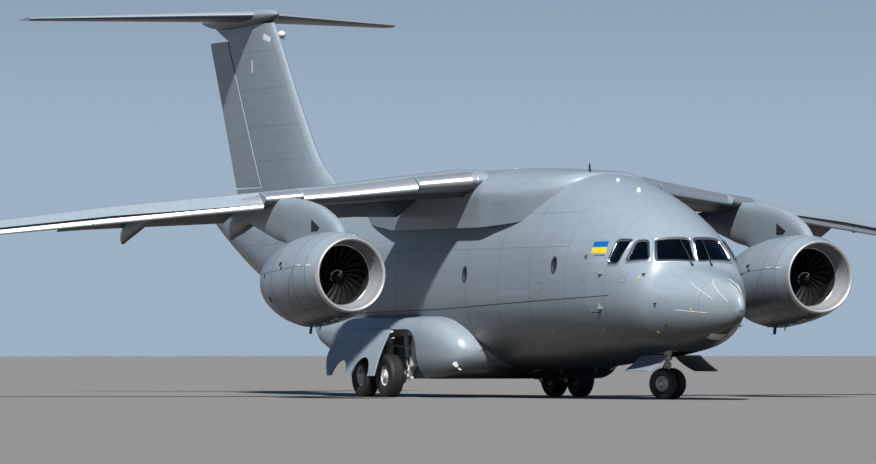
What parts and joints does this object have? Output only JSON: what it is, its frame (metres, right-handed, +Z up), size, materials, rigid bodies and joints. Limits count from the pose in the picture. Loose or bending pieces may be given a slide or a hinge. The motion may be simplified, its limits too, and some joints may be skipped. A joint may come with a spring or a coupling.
{
  "type": "military transport plane",
  "caption": "High-winged military transport plane on its landing gear, with two jet engines under the wings, a T tail, side doors and a cargo ramp.",
  "frame": {"origin": "on the ground under the middle of the overall length and span", "axes": "+X forward along the fuselage, +Y to port, +Z up"},
  "size_m": [32.95, 28.8392, 10.135],
  "materials": {
    "grey_paint": "satin mid grey paint, faintly streaked",
    "radome_paint": "smooth grey paint on the radome",
    "bare_metal": "polished leading edge metal",
    "engine_steel": "heat-stained metal",
    "fan_metal": "dark satin titanium",
    "leg_paint": "pale grey gloss paint",
    "wheel_rim": "pale grey paint on cast wheels",
    "tyre_rubber": "black rubber with circumferential grooves",
    "window_glass": "clear tinted glass",
    "cabin_lining": "matt lining and floor panels",
    "seat_cover": "dark woven seat cover"
  },
  "bodies": {
    "airframe": {"aft_fuselage": "grey_paint", "cargo_floor": "cabin_lining", "centre_fuselage": "grey_paint", "cockpit_shell": "grey_paint", "cowl_port": "grey_paint", "cowl_starboard": "grey_paint", "engine_core_port": "engine_steel", "engine_core_starboard": "engine_steel", "fin": "grey_paint", "flight_deck": "cabin_lining", "flight_deck_glass": "window_glass", "forward_fuselage": "grey_paint", "intake_lip_port": "bare_metal", "intake_lip_starboard": "bare_metal", "main_gear_door_port": "grey_paint", "main_gear_door_starboard": "grey_paint", "main_legs_port": "leg_paint", "main_legs_starboard": "leg_paint", "nose_gear_door_port": "grey_paint", "nose_gear_door_starboard": "grey_paint", "nose_strut": "leg_paint", "pilot_seat_port": "seat_cover", "pilot_seat_starboard": "seat_cover", "pylon_port": "grey_paint", "pylon_starboard": "grey_paint", "radome": "radome_paint", "sponson_port": "grey_paint", "sponson_starboard": "grey_paint", "tail_cone": "grey_paint", "tailplane": "grey_paint", "wing_port": "grey_paint", "wing_root_fairing": "grey_paint", "wing_starboard": "grey_paint"},
    "nose_steering": {"nose_fork": "leg_paint"},
    "nose_wheels": {"nose_tyre_port": "tyre_rubber", "nose_rim_port": "wheel_rim", "nose_tyre_starboard": "tyre_rubber", "nose_rim_starboard": "wheel_rim"},
    "fan_port_body": {"fan_port": "fan_metal"},
    "fan_starboard_body": {"fan_starboard": "fan_metal"},
    "rudder_body": {"rudder": "grey_paint"},
    "elevator_port_body": {"elevator_port": "grey_paint"},
    "elevator_starboard_body": {"elevator_starboard": "grey_paint"},
    "aileron_port_body": {"aileron_port": "grey_paint"},
    "aileron_starboard_body": {"aileron_starboard": "grey_paint"},
    "ramp_body": {"cargo_ramp": "grey_paint"},
    "aft_door_body": {"aft_cargo_door": "grey_paint"},
    "crew_door_body": {"crew_door": "grey_paint"},
    "service_door_body": {"service_door": "grey_paint"},
    "wheel_port_front": {"main_tyre_port_front": "tyre_rubber", "main_rim_port_front": "wheel_rim"},
    "wheel_port_rear": {"main_tyre_port_rear": "tyre_rubber", "main_rim_port_rear": "wheel_rim"},
    "wheel_starboard_front": {"main_tyre_starboard_front": "tyre_rubber", "main_rim_starboard_front": "wheel_rim"},
    "wheel_starboard_rear": {"main_tyre_starboard_rear": "tyre_rubber", "main_rim_starboard_rear": "wheel_rim"}
  },
  "joints": [
    {"name": "nose_steer", "type": "hinge", "parent": "airframe", "child": "nose_steering", "pos_m": [12.56, 0, 0.9], "axis": [0, 0, 1], "range_deg": [-90, 30]},
    {"name": "nose_wheels_roll", "type": "hinge", "parent": "nose_steering", "child": "nose_wheels", "pos_m": [12.56, 0, 0.365], "axis": [-0.5, 0.866, 0], "continuous": true},
    {"name": "wheel_port_front_roll", "type": "hinge", "parent": "airframe", "child": "wheel_port_front", "pos_m": [2.23, 2.54, 0.52], "axis": [0, 1, 0], "continuous": true},
    {"name": "wheel_port_rear_roll", "type": "hinge", "parent": "airframe", "child": "wheel_port_rear", "pos_m": [0.72, 2.54, 0.52], "axis": [0, 1, 0], "continuous": true},
    {"name": "wheel_starboard_front_roll", "type": "hinge", "parent": "airframe", "child": "wheel_starboard_front", "pos_m": [2.23, -2.54, 0.52], "axis": [0, 1, 0], "continuous": true},
    {"name": "wheel_starboard_rear_roll", "type": "hinge", "parent": "airframe", "child": "wheel_starboard_rear", "pos_m": [0.72, -2.54, 0.52], "axis": [0, 1, 0], "continuous": true},
    {"name": "fan_port_spin", "type": "hinge", "parent": "airframe", "child": "fan_port_body", "pos_m": [7.33, 6.1, 2.9], "axis": [1, 0, 0], "continuous": true},
    {"name": "fan_starboard_spin", "type": "hinge", "parent": "airframe", "child": "fan_starboard_body", "pos_m": [7.33, -6.1, 2.9], "axis": [1, 0, 0], "continuous": true},
    {"name": "rudder_hinge", "type": "hinge", "parent": "airframe", "child": "rudder_body", "pos_m": [-12.00443, 0, 5.4], "axis": [-0.5329, 0, 0.8462], "range_deg": [-25, 25]},
    {"name": "elevator_port_hinge", "type": "hinge", "parent": "airframe", "child": "elevator_port_body", "pos_m": [-14.175, 0.42, 9.949], "axis": [-0.3919, 0.9199, -0.0088], "range_deg": [-20, 20]},
    {"name": "elevator_starboard_hinge", "type": "hinge", "parent": "airframe", "child": "elevator_starboard_body", "pos_m": [-14.175, -0.42, 9.949], "axis": [0.3919, 0.9199, 0.0088], "range_deg": [-20, 20]},
    {"name": "aileron_port_hinge", "type": "hinge", "parent": "airframe", "child": "aileron_port_body", "pos_m": [0.42575, 10.4, 4.28809], "axis": [-0.3007, 0.9472, -0.1113], "range_deg": [-20, 20]},
    {"name": "aileron_starboard_hinge", "type": "hinge", "parent": "airframe", "child": "aileron_starboard_body", "pos_m": [0.42575, -10.4, 4.28809], "axis": [0.3007, 0.9472, 0.1113], "range_deg": [-20, 20]},
    {"name": "ramp_hinge", "type": "hinge", "parent": "airframe", "child": "ramp_body", "pos_m": [-3.03, 0, 0.867], "axis": [0, -1, 0], "range_deg": [0, 27.5]},
    {"name": "aft_door_hinge", "type": "hinge", "parent": "airframe", "child": "aft_door_body", "pos_m": [-10.295, 0, 3.05], "axis": [0, -1, 0], "range_deg": [0, 34]},
    {"name": "crew_door_hinge", "type": "hinge", "parent": "airframe", "child": "crew_door_body", "pos_m": [11.75, 1.83, 2.005], "axis": [-1, 0, 0], "range_deg": [0, 140]},
    {"name": "service_door_hinge", "type": "hinge", "parent": "airframe", "child": "service_door_body", "pos_m": [12.535, -1.75, 2.6], "axis": [0, 0, 1], "range_deg": [0, 110]}
  ]
}
